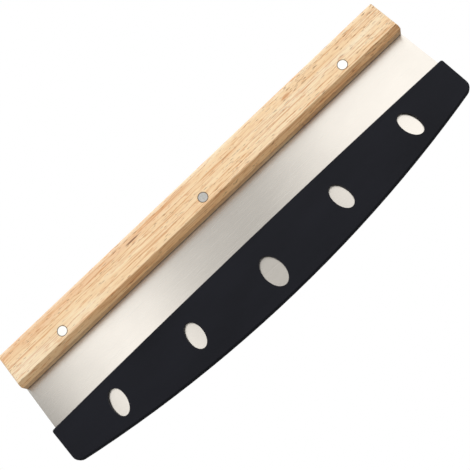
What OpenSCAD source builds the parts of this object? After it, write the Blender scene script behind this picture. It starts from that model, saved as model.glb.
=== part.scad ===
// Rocking pizza knife: a slotted wooden grip bar, a wide steel blade with a
// convex ground edge, three two-piece rivets and a slip-on moulded cover.
// The knife lies flat on the back face of its handle. X runs along the blade,
// Y from the cutting edge towards the spine, Z out of the face of the blade.
// The origin is the middle of the flat back face of the handle.

/* [Handle] */
// Length of the handle along its spine
handle_length = 341; // [300:1:380]
// Height of the handle from its underside to its spine
handle_height = 27; // [24:0.5:32]
// Thickness of the handle across the blade
handle_thickness = 24; // [20:0.5:28]
// Size of the chamfer along both lower long edges
handle_chamfer = 3.8; // [2:0.1:5]
// Radius of the eased edges at the spine and the ends
handle_round = 1.6; // [0.8:0.1:2.4]
// Radius of the softer ridges beside the chamfers
ridge_round = 0.8; // [0.4:0.1:1.2]
// Outward lean of the ends of handle and blade, in degrees
end_flare = 2.6; // [0.5:0.1:4]

/* [Blade] */
// Thickness of the blade sheet
blade_thickness = 1.2; // [0.8:0.1:2]
// Height of the blade below the handle at mid-length
blade_height = 74.4; // [64:0.2:90]
// Radius of the rocking cutting edge
edge_radius = 900; // [700:10:1400]
// Height of the ground bevel on each side of the cutting edge
edge_bevel = 2.4; // [1:0.1:4]
// Width of the flat left along the cutting edge
edge_land = 0.12; // [0.06:0.02:0.3]
// Depth that the blade reaches into the slot of the handle
tang_depth = 18; // [14:0.5:20]

/* [Rivets] */
// Distance of the outer rivets from the ends of the handle's spine
rivet_inset = 43.5; // [20:0.5:70]
// Height of the rivets above the underside of the handle
rivet_height = 8.9; // [8.2:0.1:10.5]
// Diameter of the rivet heads
head_diameter = 7; // [6:0.1:8.4]
// Thickness of the rivet heads
head_thickness = 2.2; // [1.2:0.1:3]
// Outer diameter of the tubular half of a rivet
barrel_diameter = 5; // [4.2:0.1:5.6]
// Diameter of the solid pin of a rivet
pin_diameter = 3.2; // [2.4:0.1:3.6]

/* [Blade cover] */
// Height of the cover at mid-length
cover_height = 46.6; // [38:0.2:58]
// Wall on each side of the blade
side_wall = 1.6; // [1.2:0.1:2.4]
// Wall at each end
end_wall = 1.3; // [1:0.1:2.4]
// Wall below the cutting edge
floor_wall = 2.2; // [1.4:0.1:4]
// Radius of the rounded rim around both faces
rim_radius = 1.1; // [0.5:0.1:1.4]
// Radius of the lower corners
corner_radius = 6; // [4:0.5:12]
// Rise of the bowed top edge from its ends to its middle
top_bow = 1.8; // [0.5:0.1:4]
// Outward lean of the ends of the cover, in degrees
cover_flare = 0.5; // [0.2:0.1:2]

/* [Cover windows] */
// Number of windows, always odd
window_count = 5; // [3:2:5]
// Distance between neighbouring windows
window_pitch = 65.3; // [52:0.1:68]
// Long diameter of the outer windows
window_length = 20.2; // [14:0.2:24]
// Short diameter of the outer windows
window_width = 11.8; // [8:0.2:16]
// Long diameter of the middle window
middle_length = 24; // [16:0.2:26]
// Short diameter of the middle window
middle_width = 14.8; // [10:0.2:18]
// Distance that the middle window sits below mid-height
middle_drop = 3.9; // [0:0.1:6]

/* [Fits] */
// Space between the blade and each side wall of the cover
side_gap = 0.7; // [0.4:0.1:1.2]
// Space between the blade and each end wall of the cover
end_gap = 0.4; // [0.2:0.1:1]
// Space between the cutting edge and the floor of the cover
edge_gap = 0.9; // [0.5:0.1:2]
// Space between the blade and the grip ribs in the cover
rib_gap = 0.05; // [0.03:0.01:0.1]
// Space around the blade in the slot and around the rivets in their bores
slip_fit = 0.02; // [0.01:0.01:0.06]
// Depth of the rivet heads below the faces of the handle
head_sink = 0.05; // [0.02:0.01:0.2]

/* [Hidden] */

wood_colour = [0.95, 0.82, 0.66];
steel_colour = [0.84, 0.82, 0.79];
rivet_colour = [0.90, 0.89, 0.87];
cover_colour = [0.14, 0.15, 0.18];

side_names = ["left", "middle", "right"];
corner_steps = 5;
round_faces = 48;
arc_steps = 24;
bow_steps = 8;
rim_steps = 3;
window_steps = 48;
cut_margin = 1;

// Levels of the handle and the blade
face_height = handle_height - handle_chamfer;
spine_y = face_height / 2;
ridge_y = -face_height / 2;
underside_y = ridge_y - handle_chamfer;
tang_top_y = underside_y + tang_depth;
rivet_y = underside_y + rivet_height;
rivet_pitch = handle_length / 2 - rivet_inset;
edge_y = underside_y - blade_height;
edge_centre_y = edge_y + edge_radius;
mid_z = handle_thickness / 2;
flare_slope = tan(end_flare);

// Rivet measures
head_r = head_diameter / 2;
barrel_r = barrel_diameter / 2;
pin_r = pin_diameter / 2;
head_bevel = 0.25;
pin_bevel = 0.4;
pin_end_gap = 1;
barrel_end_gap = 0.3;
front_seat_z = handle_thickness - head_thickness;

// Cover measures
blade_half = half_at(edge_height(half_at(edge_y), edge_radius));
pocket_r = edge_radius + edge_gap;
cover_r = pocket_r + floor_wall;
cover_bottom_y = edge_centre_y - cover_r;
cover_top_y = cover_bottom_y + cover_height;
pocket_half = blade_half + end_gap;
pocket_width = blade_thickness + 2 * side_gap;
pocket_corner = 0.8;
cover_thickness = pocket_width + 2 * side_wall;
cover_half = pocket_half + end_wall;
cover_corner_y = edge_height(cover_half, cover_r);
cover_low_half = cover_half + (cover_top_y - cover_corner_y) * tan(cover_flare);
cover_top_corner = rim_radius + 0.6;
slice = 0.01;
rib_width = 1.2;
rib_drop = 5;
rib_root = 0.4;
end_rib_inset = 9;

// Half length of the flared handle and blade at a level
function half_at(y) = handle_length / 2 + (spine_y - y) * flare_slope;

// Level of an arc about the centre of the cutting edge
function edge_height(x, r) = edge_centre_y - sqrt(r * r - x * x);

// Level of the bowed top edge of the cover
function cover_top(x) = cover_top_y - top_bow * pow(x / cover_half, 2);

function unit(v) = v / norm(v);

// Arc that rounds corner b between its neighbours a and c
function corner_arc(a, b, c, r) =
    let (
        u = unit(a - b),
        w = unit(c - b),
        half = acos(u * w) / 2,
        centre = b + unit(u + w) * r / sin(half),
        first = b + u * r / tan(half) - centre,
        last = b + w * r / tan(half) - centre,
        sweep = 180 - 2 * half
    )
    [for (i = [0 : corner_steps])
        let (turn = sweep * i / corner_steps)
        centre + (first * sin(sweep - turn) + last * sin(turn)) / sin(sweep)];

// Closed outline with each corner rounded by its own radius, or left sharp at 0
function rounded(points, radii) =
    let (n = len(points))
    [for (i = [0 : n - 1])
        each (radii[i] == 0
            ? [points[i]]
            : corner_arc(points[(i + n - 1) % n], points[i], points[(i + 1) % n], radii[i]))];

// Same value a number of times, for the sharp points of an outline
function repeated(value, n) = [for (i = [1 : n]) value];

// Wooden handle: one bar with a blind slot and counterbored rivet holes
module handle_section() {
    rotate([90, 0, 90])
    linear_extrude(2 * half_at(underside_y) + 2 * cut_margin, center = true)
    polygon(rounded([
        [spine_y, 0],
        [ridge_y, 0],
        [underside_y, handle_chamfer],
        [underside_y, handle_thickness - handle_chamfer],
        [ridge_y, handle_thickness],
        [spine_y, handle_thickness]
    ], [handle_round, ridge_round, ridge_round, ridge_round, ridge_round, handle_round]));
}

module handle_front() {
    translate([0, 0, -cut_margin])
    linear_extrude(handle_thickness + 2 * cut_margin)
    polygon(rounded([
        [-half_at(spine_y), spine_y],
        [half_at(spine_y), spine_y],
        [half_at(underside_y), underside_y],
        [-half_at(underside_y), underside_y]
    ], [handle_round, handle_round, ridge_round, ridge_round]));
}

// Rounded plan of the right half, leaning with the flare of the end
module handle_plan() {
    inner_x = -handle_height;
    multmatrix([
        [1, -flare_slope, 0, spine_y * flare_slope],
        [0, 1, 0, 0],
        [0, 0, 1, 0],
        [0, 0, 0, 1]
    ])
    translate([0, spine_y + cut_margin, 0])
    rotate([90, 0, 0])
    linear_extrude(handle_height + 2 * cut_margin)
    polygon(rounded([
        [inner_x, 0],
        [half_at(spine_y), 0],
        [half_at(spine_y), handle_thickness],
        [inner_x, handle_thickness]
    ], [0, handle_round, handle_round, 0]));
}

module rivet_places() {
    for (i = [-1 : 1])
        translate([i * rivet_pitch, rivet_y, 0])
            children();
}

module rivet_bore() {
    translate([0, 0, -cut_margin])
        cylinder(h = handle_thickness + 2 * cut_margin, r = barrel_r + slip_fit, $fn = round_faces);
    translate([0, 0, -cut_margin])
        cylinder(h = head_thickness + cut_margin, r = head_r + slip_fit, $fn = round_faces);
    translate([0, 0, front_seat_z])
        cylinder(h = head_thickness + cut_margin, r = head_r + slip_fit, $fn = round_faces);
}

module slot() {
    slot_half = half_at(underside_y) + cut_margin;
    slot_width = blade_thickness + 2 * slip_fit;
    translate([-slot_half, underside_y - cut_margin, mid_z - slot_width / 2])
        cube([2 * slot_half, tang_depth + cut_margin, slot_width]);
}

module handle() {
    color(wood_colour)
    difference() {
        intersection() {
            handle_section();
            handle_front();
            union() {
                handle_plan();
                mirror([1, 0, 0])
                    handle_plan();
            }
        }
        slot();
        rivet_places()
            rivet_bore();
    }
}

// Steel blade: a flared sheet whose lower edge is ground to a convex arc
module blade_blank() {
    low_y = edge_y - cut_margin;
    translate([0, 0, mid_z - blade_thickness / 2])
    linear_extrude(blade_thickness)
    polygon([
        [-half_at(tang_top_y), tang_top_y],
        [half_at(tang_top_y), tang_top_y],
        [half_at(low_y), low_y],
        [-half_at(low_y), low_y]
    ]);
}

// Sector of a disc whose tapered rim grinds both sides of the cutting edge
module ground_edge() {
    inner_r = edge_radius - blade_height - tang_depth - 10 * cut_margin;
    half_span = asin(half_at(edge_y) / inner_r) + 2;
    taper = edge_bevel * (blade_thickness - edge_land / 2) / (blade_thickness / 2 - edge_land / 2);
    translate([0, edge_centre_y, mid_z])
    rotate([0, 0, 270 - half_span])
    rotate_extrude(angle = 2 * half_span, $fn = 720)
    polygon([
        [inner_r, -blade_thickness],
        [edge_radius - taper, -blade_thickness],
        [edge_radius, -edge_land / 2],
        [edge_radius, edge_land / 2],
        [edge_radius - taper, blade_thickness],
        [inner_r, blade_thickness]
    ]);
}

module blade() {
    color(steel_colour)
    difference() {
        intersection() {
            blade_blank();
            ground_edge();
        }
        rivet_places()
            translate([0, 0, mid_z - blade_thickness])
                cylinder(h = 2 * blade_thickness, r = barrel_r + slip_fit, $fn = round_faces);
    }
}

// Solid half of a rivet: head in the front face, pin towards the back
module rivet_pin(i) {
    top_z = handle_thickness - head_sink;
    tip_z = head_thickness + pin_end_gap;
    color(rivet_colour)
    translate([i * rivet_pitch, rivet_y, 0])
    rotate_extrude($fn = round_faces)
    polygon([
        [0, tip_z],
        [pin_r - pin_bevel, tip_z],
        [pin_r, tip_z + pin_bevel],
        [pin_r, front_seat_z],
        [head_r, front_seat_z],
        [head_r, top_z - head_bevel],
        [head_r - head_bevel, top_z],
        [0, top_z]
    ]);
}

// Tubular half of a rivet: head in the back face, barrel towards the front
module rivet_barrel(i) {
    end_z = front_seat_z - barrel_end_gap;
    color(rivet_colour)
    translate([i * rivet_pitch, rivet_y, 0])
    rotate_extrude($fn = round_faces)
    polygon([
        [0, head_sink],
        [head_r - head_bevel, head_sink],
        [head_r, head_sink + head_bevel],
        [head_r, head_thickness],
        [barrel_r, head_thickness],
        [barrel_r, end_z],
        [pin_r + slip_fit, end_z],
        [pin_r + slip_fit, head_thickness],
        [0, head_thickness]
    ]);
}

// Outline of the cover, drawn in by an inset on every side
module cover_outline(inset) {
    top_half = cover_half - inset;
    low_half = cover_low_half - inset;
    low_r = cover_r - inset;
    top_points = [for (i = [0 : bow_steps])
        let (x = top_half * (2 * i / bow_steps - 1))
        [x, cover_top(x) - inset]];
    low_points = [for (i = [0 : arc_steps])
        let (x = low_half * (1 - 2 * i / arc_steps))
        [x, edge_height(x, low_r)]];
    top_round = cover_top_corner - inset;
    low_round = corner_radius - inset;
    polygon(rounded(concat(top_points, low_points), concat(
        [top_round], repeated(0, bow_steps - 1), [top_round],
        [low_round], repeated(0, arc_steps - 1), [low_round]
    )));
}

// Closed outer form of the cover with its rounded rim
module cover_form() {
    hull()
        for (side = [-1, 1], i = [0 : rim_steps]) {
            turn = 90 * i / rim_steps;
            reach = cover_thickness / 2 - rim_radius * (1 - cos(turn)) - slice / 2;
            translate([0, 0, mid_z + side * reach])
                linear_extrude(slice, center = true)
                    cover_outline(rim_radius * (1 - sin(turn)));
        }
}

// Pocket that takes the blade, open at the top and following the edge below
module cover_pocket() {
    open_y = cover_top_y + cut_margin;
    low_points = [for (i = [0 : arc_steps])
        let (x = pocket_half * (1 - 2 * i / arc_steps))
        [x, edge_height(x, pocket_r)]];
    translate([0, 0, mid_z])
    linear_extrude(pocket_width, center = true)
    polygon(rounded(
        concat([[-pocket_half, open_y], [pocket_half, open_y]], low_points),
        concat([0, 0, pocket_corner], repeated(0, arc_steps - 1), [pocket_corner])
    ));
}

// Elliptical windows at mid-height, each along its own radius of the edge
module cover_windows() {
    last = (window_count - 1) / 2;
    for (i = [-last : last]) {
        x = i * window_pitch;
        drop = i == 0 ? middle_drop : 0;
        y = (cover_top(x) + edge_height(x, cover_r)) / 2 - drop;
        a = (i == 0 ? middle_width : window_width) / 2;
        b = (i == 0 ? middle_length : window_length) / 2;
        translate([x, y, mid_z])
        rotate([0, 0, asin(x / edge_radius)])
        linear_extrude(cover_thickness + 2 * cut_margin, center = true)
        polygon([for (k = [1 : window_steps])
            let (turn = 360 * k / window_steps)
            [a * cos(turn), b * sin(turn)]]);
    }
}

// Pair of upright ribs that guide the blade between the side walls
module rib_pair(x) {
    low_y = edge_height(x, pocket_r) - rib_root;
    rib_height = cover_top(x) - rib_drop - low_y;
    reach = side_gap - rib_gap + rib_root;
    for (side = [-1, 1])
        translate([x, low_y + rib_height / 2, mid_z + side * (pocket_width / 2 + rib_root - reach / 2)])
            cube([rib_width, rib_height, reach], center = true);
}

module blade_cover() {
    color(cover_colour)
    union() {
        difference() {
            cover_form();
            cover_pocket();
            cover_windows();
        }
        for (side = [-1, 1]) {
            rib_pair(side * window_pitch / 2);
            rib_pair(side * window_pitch * 3 / 2);
            rib_pair(side * (pocket_half - end_rib_inset));
        }
    }
}

handle();
blade();
for (i = [-1 : 1]) {
    rivet_pin(i);
    rivet_barrel(i);
}
blade_cover();
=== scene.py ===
import math

import bpy
from mathutils import Matrix, Vector


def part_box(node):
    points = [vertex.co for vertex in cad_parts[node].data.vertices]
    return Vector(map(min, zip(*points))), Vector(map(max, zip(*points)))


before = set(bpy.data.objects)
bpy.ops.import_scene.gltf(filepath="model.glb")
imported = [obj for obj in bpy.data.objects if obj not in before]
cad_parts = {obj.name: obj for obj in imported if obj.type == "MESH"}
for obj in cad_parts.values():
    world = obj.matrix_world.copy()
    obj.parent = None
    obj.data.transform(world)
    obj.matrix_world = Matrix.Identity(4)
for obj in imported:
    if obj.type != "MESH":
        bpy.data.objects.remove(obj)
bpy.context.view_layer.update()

# Places worked out from the frame, in metres
MM = 0.001
HANDLE_LOW, HANDLE_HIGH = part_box("handle")
BLADE_LOW, BLADE_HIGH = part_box("blade")
UNDERSIDE_Y = HANDLE_LOW[1]
SPINE_Y = HANDLE_HIGH[1]
MID_Z = (BLADE_LOW[2] + BLADE_HIGH[2]) / 2
TABLE_Z = HANDLE_LOW[2]
HALF_LENGTH = HANDLE_HIGH[0]
SIDES = ("left", "middle", "right")

# Camera, as the photograph was taken
VIEW_TILT = math.radians(18.0)
VIEW_TURN = math.radians(-1.25)
VIEW_ROLL = math.radians(44.01)
VIEW_DISTANCE = 659 * MM
FOCUS = Vector((-1.8 * MM, UNDERSIDE_Y - 21.4 * MM, MID_Z))
SENSOR = 36.0
FOCAL_PIXELS = 1000.0
FRAME_PIXELS = 470.0

# Studio
SOFTBOX_PLACE = (0.1, 0.9, 1.0)
SOFTBOX_SIZE = (2.0, 0.8)
SOFTBOX_POWER = 9.5
WORLD_STRENGTH = 1.9
SIDE_STOPS = ((-0.6, 0.68), (-0.31, 0.00), (-0.25, 0.05), (-0.19, 0.80), (-0.12, 1.00), (-0.02, 0.38),
              (0.06, 0.33), (0.18, 0.90), (0.5, 0.72))
DEPTH_STOPS = ((-0.9, 0.24), (-0.3, 0.52), (0.10, 1.0), (0.7, 1.0))
FLOOR_SIZE = 6.0

# Direction of the wood grain, a little off the bar's length
GRAIN_TURN = (0, 0, math.radians(1.2))

# Natural marks in the wood: centre and half sizes in metres, display colour, depth
WOOD_MARKS = (
    ((-54 * MM, 5.8 * MM), (7 * MM, 0.7 * MM), (120, 66, 36), 0.8),
    ((86 * MM, 5.0 * MM), (5 * MM, 1.6 * MM), (196, 122, 64), 0.6))


def srgb(red, green, blue):
    """Linear colour of an 8-bit display colour."""
    def linear(value):
        value /= 255
        return value / 12.92 if value <= 0.04045 else ((value + 0.055) / 1.055) ** 2.4
    return (linear(red), linear(green), linear(blue), 1.0)


WOOD_BANDS = ((0.28, srgb(244, 206, 158)), (0.45, srgb(251, 220, 176)),
              (0.58, srgb(254, 234, 198)), (0.75, srgb(255, 240, 212)))
WOOD_FIBRES = ((0.30, srgb(226, 180, 130)), (0.55, srgb(249, 218, 176)), (0.75, srgb(254, 238, 210)))


class Tree:
    """Short way to write a material's nodes."""

    def __init__(self, material):
        material.use_nodes = True
        self.tree = material.node_tree
        self.tree.nodes.clear()
        self.output = self.tree.nodes.new("ShaderNodeOutputMaterial")

    def add(self, kind, inputs=(), **settings):
        node = self.tree.nodes.new("ShaderNode" + kind)
        for name, value in settings.items():
            setattr(node, name, value)
        for key, value in dict(inputs).items():
            self.put(node.inputs[key], value)
        return node

    def put(self, socket, value):
        if isinstance(value, bpy.types.NodeSocket):
            self.tree.links.new(value, socket)
        else:
            socket.default_value = value

    def place(self, scale, offset=(0, 0, 0), turn=(0, 0, 0)):
        """Object coordinates, so a scale of 1000 counts in millimetres."""
        coordinates = self.add("TexCoord").outputs["Object"]
        mapping = self.add("Mapping", {
            "Vector": coordinates, "Location": offset, "Rotation": turn, "Scale": scale})
        return mapping.outputs["Vector"]

    def noise(self, vector, scale, detail=3.0, rough=0.5, distortion=0.0):
        return self.add("TexNoise", {
            "Vector": vector, "Scale": scale, "Detail": detail,
            "Roughness": rough, "Distortion": distortion}).outputs["Fac"]

    def spot(self, centre, size):
        """Distance from a place on the face, 1 at the rim of an oval of these half sizes."""
        scale = (1 / size[0], 1 / size[1], 0)
        vector = self.place(scale, offset=(-centre[0] / size[0], -centre[1] / size[1], 0))
        return self.add("VectorMath", {"Vector": vector}, operation="LENGTH").outputs["Value"]

    def ramp(self, value, stops):
        """Colour ramp; each stop is a position with a colour or a grey."""
        node = self.add("ValToRGB", {"Fac": value})
        elements = node.color_ramp.elements
        while len(elements) < len(stops):
            elements.new(0.5)
        for element, (position, colour) in zip(elements, stops):
            element.position = position
            element.color = colour if isinstance(colour, tuple) else (colour, colour, colour, 1.0)
        return node.outputs["Color"]

    def math(self, operation, first, second=0.0, clamp=False):
        node = self.add("Math", operation=operation, use_clamp=clamp)
        self.put(node.inputs[0], first)
        self.put(node.inputs[1], second)
        return node.outputs[0]

    def mix(self, factor, first, second, blend="MIX"):
        node = self.add("Mix", data_type="RGBA", blend_type=blend)
        self.put(node.inputs[0], factor)
        self.put(node.inputs[6], first)
        self.put(node.inputs[7], second)
        return node.outputs[2]

    def range(self, value, low, high, to_low=0.0, to_high=1.0):
        node = self.add("MapRange", {"Value": value}, clamp=True)
        for name, number in (("From Min", low), ("From Max", high),
                             ("To Min", to_low), ("To Max", to_high)):
            node.inputs[name].default_value = number
        return node.outputs["Result"]

    def bump(self, height, distance, strength):
        node = self.add("Bump", {"Height": height, "Distance": distance, "Strength": strength})
        return node.outputs["Normal"]

    def surface(self, **inputs):
        names = {key: key.replace("_", " ") for key in inputs}
        shader = self.add("BsdfPrincipled", {names[key]: value for key, value in inputs.items()})
        self.tree.links.new(shader.outputs["BSDF"], self.output.inputs["Surface"])
        return shader


def wood_colour(t, fibres, bands, split):
    """Cream ground with a reddish band under the left spine and a painted highlight along the spine."""
    base = t.ramp(bands, WOOD_BANDS)
    base = t.mix(0.35, base, t.ramp(fibres, WOOD_FIBRES))
    wander = t.math("MULTIPLY", t.math("SUBTRACT", bands, 0.5), 12 * MM)
    height = t.math("ADD", split.outputs["Y"], wander)
    band = t.math("MULTIPLY", t.range(height, SPINE_Y - 9 * MM, SPINE_Y - 5 * MM),
                  t.range(split.outputs["X"], 0.02, -0.05))
    base = t.mix(t.math("MULTIPLY", band, 0.38), base, srgb(232, 168, 118))
    # Painted highlight: a paler band along the spine, where the light falls on its rounded top
    painted_spine_highlight = t.range(split.outputs["Y"], SPINE_Y - 3.2 * MM, SPINE_Y - 2.2 * MM)
    return t.mix(t.math("MULTIPLY", painted_spine_highlight, 0.35), base, srgb(253, 236, 208))


def wood_streaks(t, base):
    """Warm streaks that run along the bar, long ones and short ones."""
    for scale, offset, low, depth in (((16, 900, 900), (3.1, 7.7, 1.3), 0.54, 0.55),
                                      ((85, 1300, 1300), (5.3, 2.9, 0.7), 0.57, 0.62)):
        thin = t.noise(t.place(scale, offset=offset, turn=GRAIN_TURN), 1.0, detail=3, rough=0.6)
        base = t.mix(t.math("MULTIPLY", t.range(thin, low, low + 0.07), depth), base, srgb(208, 134, 74))
    return base


def wood_pores(t, split):
    """Mask of short dark pores, closer together in the right half."""
    pores = t.noise(t.place((210, 1700, 1700), turn=GRAIN_TURN), 1.0, detail=2, rough=0.5)
    crowd = t.noise(t.place((18, 90, 90), offset=(1.7, 0.4, 2.2)), 1.0, detail=2)
    rightward = t.range(split.outputs["X"], -HALF_LENGTH, HALF_LENGTH, -0.02, 0.035)
    level = t.math("ADD", pores, t.math("ADD", t.math("MULTIPLY", crowd, 0.16), rightward))
    return t.range(level, 0.725, 0.775)


def wood_edges(t, base, split, rivets):
    """Painted shade on the lower bevel, and painted shade lines along the slot's opening and around the rivet
    heads.
    """
    # Painted warm shade: the lower bevel and underside are darkened and warmed in place of the dim, warm
    # bounce light they get
    painted_bevel_shade = t.range(split.outputs["Y"], UNDERSIDE_Y + 4.0 * MM, UNDERSIDE_Y + 3.5 * MM)
    base = t.mix(painted_bevel_shade, base, t.mix(1.0, base, (1.0, 0.84, 0.68, 1.0), blend="MULTIPLY"))
    # Painted shade: a dark line along the slot's opening, where the handle meets the blade
    painted_mouth_shade = t.math("MULTIPLY", t.range(split.outputs["Y"], UNDERSIDE_Y + 0.8 * MM, UNDERSIDE_Y + 0.4 * MM),
                   t.range(split.outputs["Z"], MID_Z + 2.4 * MM, MID_Z + 1.4 * MM))
    base = t.mix(t.math("MULTIPLY", painted_mouth_shade, 0.75), base, srgb(74, 50, 34))
    # Painted shade in the gap around each rivet head
    for centre, radius in rivets:
        painted_rivet_gap_shade = t.range(t.spot(centre, (radius, radius)), 1.09, 1.03)
        base = t.mix(t.math("MULTIPLY", painted_rivet_gap_shade, 0.85), base, srgb(80, 54, 38))
    return base


def wood_material(rivets):
    """Pale fine-grained hardwood with short pores, warm streaks and two natural marks."""
    material = bpy.data.materials.new("pale_hardwood")
    t = Tree(material)
    fibres = t.noise(t.place((60, 1000, 1000), turn=GRAIN_TURN), 1.1, detail=6, rough=0.65)
    bands = t.noise(t.place((9, 110, 110), turn=GRAIN_TURN), 1.0, detail=4, rough=0.6, distortion=0.6)
    split = t.add("SeparateXYZ", {"Vector": t.add("TexCoord").outputs["Object"]})
    pore_mask = wood_pores(t, split)
    base = wood_streaks(t, wood_colour(t, fibres, bands, split))
    base = t.mix(t.math("MULTIPLY", pore_mask, 0.72), base, srgb(132, 76, 44))
    for centre, size, colour, depth in WOOD_MARKS:
        inside = t.math("ADD", t.spot(centre, size), t.math("MULTIPLY", t.math("SUBTRACT", fibres, 0.5), 1.6))
        base = t.mix(t.math("MULTIPLY", t.range(inside, 1.0, 0.55), depth), base, srgb(*colour))
    base = wood_edges(t, base, split, rivets)
    relief = t.math("SUBTRACT", t.math("MULTIPLY", fibres, 0.35), pore_mask)
    t.surface(Base_Color=base, Roughness=t.range(fibres, 0.3, 0.7, 0.52, 0.42), Specular_IOR_Level=0.35,
              Normal=t.bump(relief, 0.05 * MM, 0.5))
    return material


def steel_material(name, colour, roughness, brush, smudge, stretch=0.0, discs=()):
    """Satin steel: brushing along X that spreads its reflections across, and painted shade rims on round
    heads.
    """
    material = bpy.data.materials.new(name)
    t = Tree(material)
    brushing = t.noise(t.place(brush), 1.0, detail=4, rough=0.7)
    cloud = t.noise(t.place((30, 42, 30), offset=(0.6, 2.1, 0.2)), 1.0, detail=3, rough=0.5)
    marks = t.range(cloud, 0.35, 0.7, 1.0 - smudge, 1.0 + smudge)
    tone = t.math("MULTIPLY", marks, t.range(brushing, 0.25, 0.75, 0.97, 1.03))
    shade = t.mix(1.0, colour, t.add("CombineColor", {"Red": tone, "Green": tone, "Blue": tone}).outputs[0],
                  blend="MULTIPLY")
    for centre, radius in discs:
        inside = t.spot(centre, (radius, radius))
        # Painted shade: a dark ring across the rim of each round head
        rim = t.math("MULTIPLY", t.range(inside, 0.90, 0.95), t.range(inside, 1.10, 1.05))
        shade = t.mix(t.math("MULTIPLY", rim, 0.8), shade, srgb(92, 84, 76))
    rough = t.range(brushing, 0.3, 0.7, roughness - 0.02, roughness + 0.02)
    across = t.add("VectorTransform", {"Vector": (0, 1, 0)}, vector_type="VECTOR",
                   convert_from="OBJECT", convert_to="WORLD").outputs["Vector"]
    t.surface(Base_Color=shade, Metallic=1.0, Roughness=rough, Anisotropic=stretch, Tangent=across,
              Normal=t.bump(brushing, 0.002 * MM, 0.2))
    return material


def plastic_material():
    """Fine matte moulded plastic, near black with a blue tint."""
    material = bpy.data.materials.new("matte_cover_plastic")
    t = Tree(material)
    grain = t.noise(t.place((2600, 2600, 2600)), 1.0, detail=2, rough=0.6)
    flow = t.noise(t.place((14, 40, 40), offset=(2.2, 0.3, 1.0)), 1.0, detail=3)
    base = t.ramp(flow, [(0.3, srgb(21, 22, 28)), (0.7, srgb(26, 27, 34))])
    rough = t.range(grain, 0.3, 0.7, 0.50, 0.60)
    t.surface(Base_Color=base, Roughness=rough, Specular_IOR_Level=0.15,
              Normal=t.bump(grain, 0.02 * MM, 0.35))
    return material


def dress(node_name, material):
    """Gives a carried-over CAD node its finish."""
    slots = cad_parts[node_name].material_slots
    for slot in slots:
        slot.material = material


def add_camera():
    sin_tilt, cos_tilt = math.sin(VIEW_TILT), math.cos(VIEW_TILT)
    back = Vector((math.sin(VIEW_TURN), -sin_tilt * math.cos(VIEW_TURN), cos_tilt * math.cos(VIEW_TURN)))
    level = Vector((0, 1, 0)).cross(back).normalized()
    rise = back.cross(level)
    right = math.cos(VIEW_ROLL) * level - math.sin(VIEW_ROLL) * rise
    up = math.sin(VIEW_ROLL) * level + math.cos(VIEW_ROLL) * rise
    data = bpy.data.cameras.new("camera")
    data.sensor_width = SENSOR
    data.lens = SENSOR * FOCAL_PIXELS / FRAME_PIXELS
    data.clip_start = 0.01
    camera = bpy.data.objects.new("camera", data)
    turn = Matrix((right, up, back)).transposed().to_4x4()
    camera.matrix_world = Matrix.Translation(FOCUS + back * VIEW_DISTANCE) @ turn
    bpy.context.scene.collection.objects.link(camera)
    bpy.context.scene.camera = camera


def add_softbox(name, place, target, size, power):
    data = bpy.data.lights.new(name, "AREA")
    data.shape = "RECTANGLE"
    data.size, data.size_y = size
    data.energy = power
    lamp = bpy.data.objects.new(name, data)
    lamp.visible_glossy = False
    aim = (Vector(target) - Vector(place)).to_track_quat("-Z", "Y").to_matrix().to_4x4()
    lamp.matrix_world = Matrix.Translation(place) @ aim
    bpy.context.scene.collection.objects.link(lamp)


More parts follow.
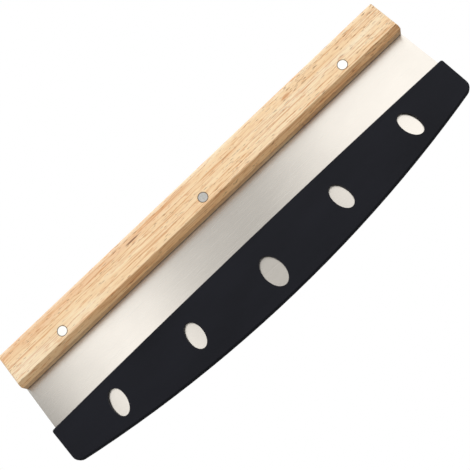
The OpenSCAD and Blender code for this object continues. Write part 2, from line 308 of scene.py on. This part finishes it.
def add_world():
    world = bpy.data.worlds.new("studio")
    bpy.context.scene.world = world
    world.use_nodes = True
    tree = world.node_tree
    tree.nodes.clear()
    output = tree.nodes.new("ShaderNodeOutputWorld")
    background = tree.nodes.new("ShaderNodeBackground")
    split = tree.nodes.new("ShaderNodeSeparateXYZ")
    tree.links.new(tree.nodes.new("ShaderNodeTexCoord").outputs["Generated"], split.inputs["Vector"])

    def curve(axis, stops):
        """Brightness along one axis of the surroundings; each stop is a place and a value."""
        spread = tree.nodes.new("ShaderNodeMapRange")
        spread.inputs["From Min"].default_value = -1.0
        ramp = tree.nodes.new("ShaderNodeValToRGB")
        ramp.color_ramp.interpolation = "EASE"
        elements = ramp.color_ramp.elements
        while len(elements) < len(stops):
            elements.new(0.5)
        for element, (place, value) in zip(elements, stops):
            element.position = (place + 1) / 2
            element.color = (value, value, value, 1.0)
        tree.links.new(split.outputs[axis], spread.inputs["Value"])
        tree.links.new(spread.outputs["Result"], ramp.inputs["Fac"])
        return ramp.outputs["Color"]

    def combine(operation, first, second):
        node = tree.nodes.new("ShaderNodeMath")
        node.operation = operation
        tree.links.new(first, node.inputs[0])
        if isinstance(second, float):
            node.inputs[1].default_value = second
        else:
            tree.links.new(second, node.inputs[1])
        return node.outputs[0]

    sides = curve("X", SIDE_STOPS)
    depth = curve("Y", DEPTH_STOPS)
    level = combine("MULTIPLY", combine("MULTIPLY", sides, depth), WORLD_STRENGTH)
    rays = tree.nodes.new("ShaderNodeLightPath")
    seen = combine("MAXIMUM", level, rays.outputs["Is Camera Ray"])
    tree.links.new(seen, background.inputs["Strength"])
    tree.links.new(background.outputs["Background"], output.inputs["Surface"])


def add_floor():
    """Plain white table that the camera sees as an even white."""
    corners = [(x * FLOOR_SIZE / 2, y * FLOOR_SIZE / 2, TABLE_Z - 0.05 * MM)
               for x, y in ((-1, -1), (1, -1), (1, 1), (-1, 1))]
    mesh = bpy.data.meshes.new("floor")
    mesh.from_pydata(corners, [], [(0, 1, 2, 3)])
    floor = bpy.data.objects.new("floor", mesh)
    bpy.context.scene.collection.objects.link(floor)
    material = bpy.data.materials.new("white_table")
    t = Tree(material)
    white = (1.0, 1.0, 1.0, 1.0)
    matte = t.add("BsdfDiffuse", {"Color": (0.35, 0.35, 0.35, 1.0)})
    glow = t.add("Emission", {"Color": white, "Strength": 1.0})
    mixed = t.add("MixShader", {0: t.add("LightPath").outputs["Is Camera Ray"]})
    t.tree.links.new(matte.outputs[0], mixed.inputs[1])
    t.tree.links.new(glow.outputs[0], mixed.inputs[2])
    t.tree.links.new(mixed.outputs[0], t.output.inputs["Surface"])
    mesh.materials.append(material)


def dress_all():
    rivets = []
    for side in SIDES:
        low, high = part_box("rivet_pin_" + side)
        rivets.append((((low[0] + high[0]) / 2, (low[1] + high[1]) / 2), (high[0] - low[0]) / 2))
    dress("handle", wood_material(rivets))
    satin = steel_material("satin_blade_steel", srgb(234, 228, 219), 0.26, (40, 2600, 2600), 0.025, 0.85)
    dress("blade", satin)
    polished = steel_material("polished_rivet_steel", srgb(240, 238, 232), 0.14, (900, 900, 900), 0.02,
                              discs=rivets)
    for half in ("pin", "barrel"):
        for side in SIDES:
            dress("rivet_%s_%s" % (half, side), polished)
    dress("blade_cover", plastic_material())


def add_lights():
    target = (0, UNDERSIDE_Y, MID_Z)
    add_softbox("softbox", SOFTBOX_PLACE, target, SOFTBOX_SIZE, SOFTBOX_POWER)


scene = bpy.context.scene
scene.view_settings.view_transform = "Standard"
scene.view_settings.look = "None"
add_camera()
add_world()
add_floor()
add_lights()
dress_all()
